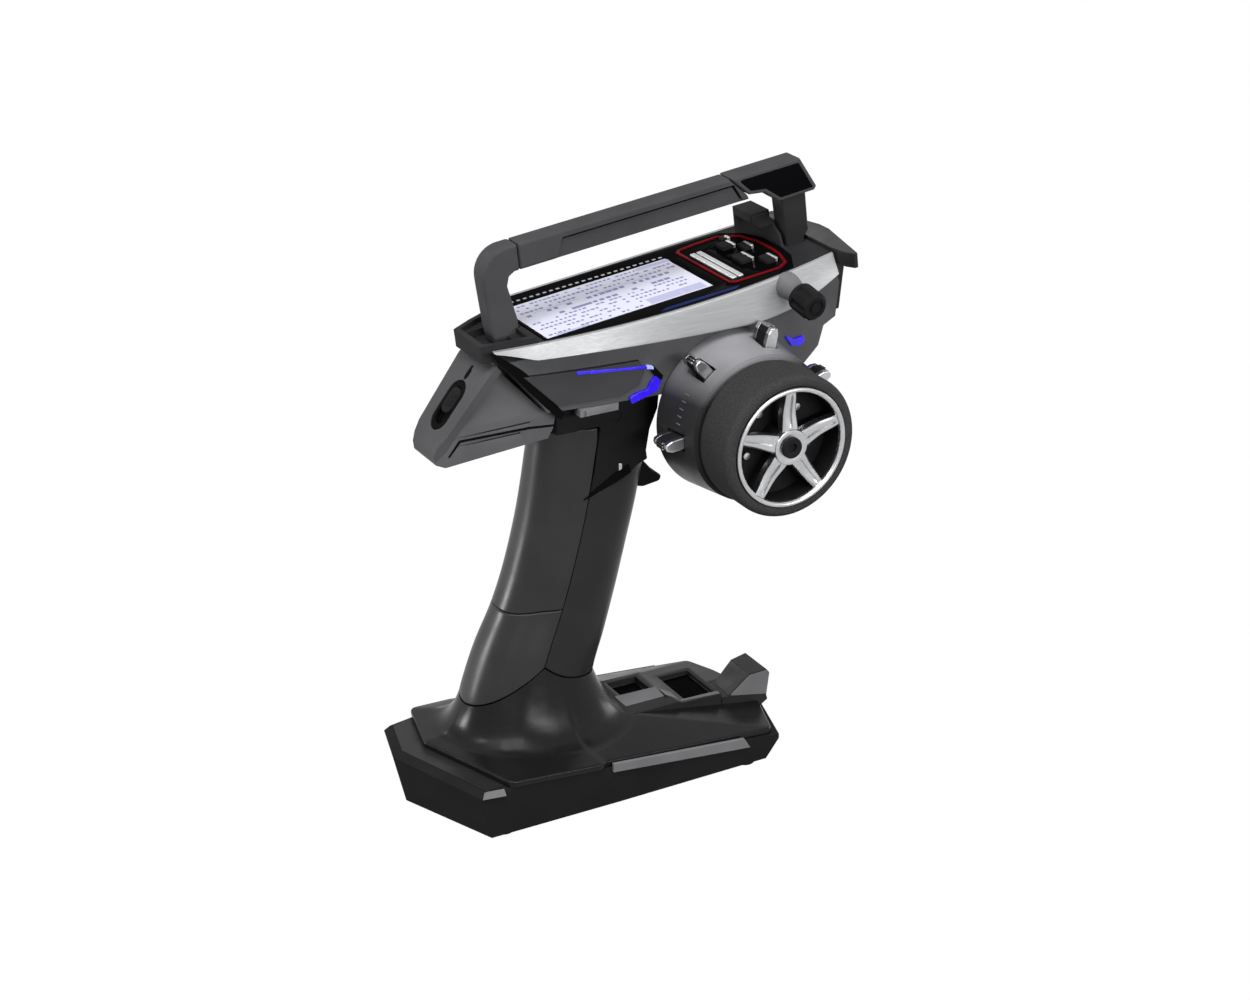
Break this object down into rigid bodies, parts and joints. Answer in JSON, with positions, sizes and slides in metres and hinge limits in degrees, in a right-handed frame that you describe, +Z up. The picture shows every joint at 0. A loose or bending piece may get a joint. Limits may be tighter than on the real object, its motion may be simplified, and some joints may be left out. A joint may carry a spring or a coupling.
{
  "type": "pistol-grip radio transmitter",
  "caption": "Pistol-grip radio transmitter with a side steering wheel, finger trigger, trim levers, top display and keypad, carrying handle and broad foot.",
  "frame": {"origin": "centre of the bounding box in plan, on the surface the feet stand on", "axes": "+Z up; +X towards the nose, along the display; +Y towards the left side, away from the steering wheel"},
  "size_m": [0.1997, 0.1048, 0.2479],
  "materials": {
    "charcoal_plastic": "fine satin texture",
    "slate_plastic": "fine satin texture",
    "black_plastic": "fine matt texture",
    "gloss_black": "polished",
    "grip_rubber": "soft sheen",
    "foam": "fine open grain",
    "bright_band": "brushed lengthwise",
    "chrome": "polished",
    "steel": "turned",
    "brass": "drawn",
    "display": "pale liquid crystal",
    "blue_light": "lit",
    "red_line": "smooth",
    "key_metal": "satin",
    "board": "lacquered",
    "battery": "shrunk film"
  },
  "bodies": {
    "chassis": {"base_tray": "black_plastic", "base_deck": "charcoal_plastic", "battery_pack": "battery", "base_feet": "grip_rubber", "side_rails": "slate_plastic", "deck_inlay": "slate_plastic", "front_bumper": "charcoal_plastic", "base_screws": "steel", "grip_front": "black_plastic", "neck_block": "charcoal_plastic", "grip_rubber": "grip_rubber", "palm_rubber": "grip_rubber", "grip_spine": "black_plastic", "trigger_pin": "steel", "trigger_spring": "steel", "trigger_sensor": "board", "rear_pod": "charcoal_plastic", "switch_bezel": "black_plastic", "body_right": "charcoal_plastic", "body_left": "charcoal_plastic", "top_cover": "charcoal_plastic", "band_right": "bright_band", "band_left": "bright_band", "name_panel": "slate_plastic", "light_pipes": "blue_light", "front_bezel": "charcoal_plastic", "display_panel": "gloss_black", "screen": "display", "keypad_ring": "red_line", "main_board": "board", "radio_module": "steel", "dial_stem": "charcoal_plastic", "steering_box": "charcoal_plastic", "hub_housing": "slate_plastic", "shaft_bearings": "steel", "steering_sensor": "board", "return_spring": "steel", "handle_bar": "charcoal_plastic", "handle_leg": "charcoal_plastic", "handle_end": "black_plastic", "aerial": "brass"},
    "steering_wheel": {"wheel_rim": "chrome", "wheel_foam": "foam", "wheel_cap": "black_plastic", "steering_shaft": "steel"},
    "trigger": {"trigger": "black_plastic"},
    "dial": {"dial_knob": "black_plastic"},
    "power_switch": {"power_switch": "charcoal_plastic"},
    "push_lever": {"push_lever": "bright_band"},
    "battery_door": {"battery_door": "charcoal_plastic"},
    "key_bar": {"key_bar": "key_metal"},
    "key_cursor": {"key_cursor": "key_metal"},
    "key_enter": {"key_enter": "key_metal"},
    "key_back": {"key_back": "key_metal"},
    "key_page": {"key_page": "key_metal"},
    "key_end": {"key_end": "key_metal"},
    "trim_lever_1": {"trim_lever_1": "chrome"},
    "trim_lever_2": {"trim_lever_2": "chrome"},
    "trim_lever_3": {"trim_lever_3": "chrome"},
    "trim_lever_4": {"trim_lever_4": "chrome"}
  },
  "joints": [
    {"name": "steer", "type": "hinge", "parent": "chassis", "child": "steering_wheel", "pos_m": [0.03955, -0.0202, 0.1564], "axis": [0, 1, 0], "range_deg": [-35, 35], "stiffness_Nm_per_rad": 0.1},
    {"name": "throttle", "type": "hinge", "parent": "chassis", "child": "trigger", "pos_m": [-0.00545, 0.0198, 0.158], "axis": [0, 1, 0], "range_deg": [-11, 22], "stiffness_Nm_per_rad": 0.3},
    {"name": "trim_1", "type": "hinge", "parent": "chassis", "child": "trim_lever_1", "pos_m": [0.06476, -0.0174, 0.16608], "axis": [0, 1, 0], "range_deg": [-8, 8], "stiffness_Nm_per_rad": 0.02},
    {"name": "trim_2", "type": "hinge", "parent": "chassis", "child": "trim_lever_2", "pos_m": [0.04627, -0.0174, 0.18255], "axis": [0, 1, 0], "range_deg": [-8, 8], "stiffness_Nm_per_rad": 0.02},
    {"name": "trim_3", "type": "hinge", "parent": "chassis", "child": "trim_lever_3", "pos_m": [0.02212, -0.0174, 0.17702], "axis": [0, 1, 0], "range_deg": [-8, 8], "stiffness_Nm_per_rad": 0.02},
    {"name": "trim_4", "type": "hinge", "parent": "chassis", "child": "trim_lever_4", "pos_m": [0.01264, -0.0174, 0.15414], "axis": [0, 1, 0], "range_deg": [-8, 8], "stiffness_Nm_per_rad": 0.02},
    {"name": "dial_turn", "type": "hinge", "parent": "chassis", "child": "dial", "pos_m": [0.06295, -0.0081, 0.2054], "axis": [0, -0.9877, -0.1564], "continuous": true},
    {"name": "switch_slide", "type": "slide", "parent": "chassis", "child": "power_switch", "axis": [-0.6191, 0, -0.7853], "range_m": [0, 0.0045]},
    {"name": "key_bar_press", "type": "slide", "parent": "chassis", "child": "key_bar", "axis": [0.1219, 0, -0.9925], "range_m": [0, 0.0007], "stiffness_N_per_m": 200, "springref_m": -0.001},
    {"name": "key_cursor_press", "type": "slide", "parent": "chassis", "child": "key_cursor", "axis": [0.1219, 0, -0.9925], "range_m": [0, 0.0007], "stiffness_N_per_m": 200, "springref_m": -0.001},
    {"name": "key_enter_press", "type": "slide", "parent": "chassis", "child": "key_enter", "axis": [0.1219, 0, -0.9925], "range_m": [0, 0.0007], "stiffness_N_per_m": 200, "springref_m": -0.001},
    {"name": "key_back_press", "type": "slide", "parent": "chassis", "child": "key_back", "axis": [0.1219, 0, -0.9925], "range_m": [0, 0.0007], "stiffness_N_per_m": 200, "springref_m": -0.001},
    {"name": "key_page_press", "type": "slide", "parent": "chassis", "child": "key_page", "axis": [0.1219, 0, -0.9925], "range_m": [0, 0.0007], "stiffness_N_per_m": 200, "springref_m": -0.001},
    {"name": "key_end_press", "type": "slide", "parent": "chassis", "child": "key_end", "axis": [0.1219, 0, -0.9925], "range_m": [0, 0.0007], "stiffness_N_per_m": 200, "springref_m": -0.001},
    {"name": "push_lever_press", "type": "slide", "parent": "chassis", "child": "push_lever", "axis": [0, 1, 0], "range_m": [0, 0.001], "stiffness_N_per_m": 200, "springref_m": -0.001},
    {"name": "battery_door_slide", "type": "slide", "parent": "chassis", "child": "battery_door", "axis": [1, 0, 0], "range_m": [0, 0.03]}
  ]
}
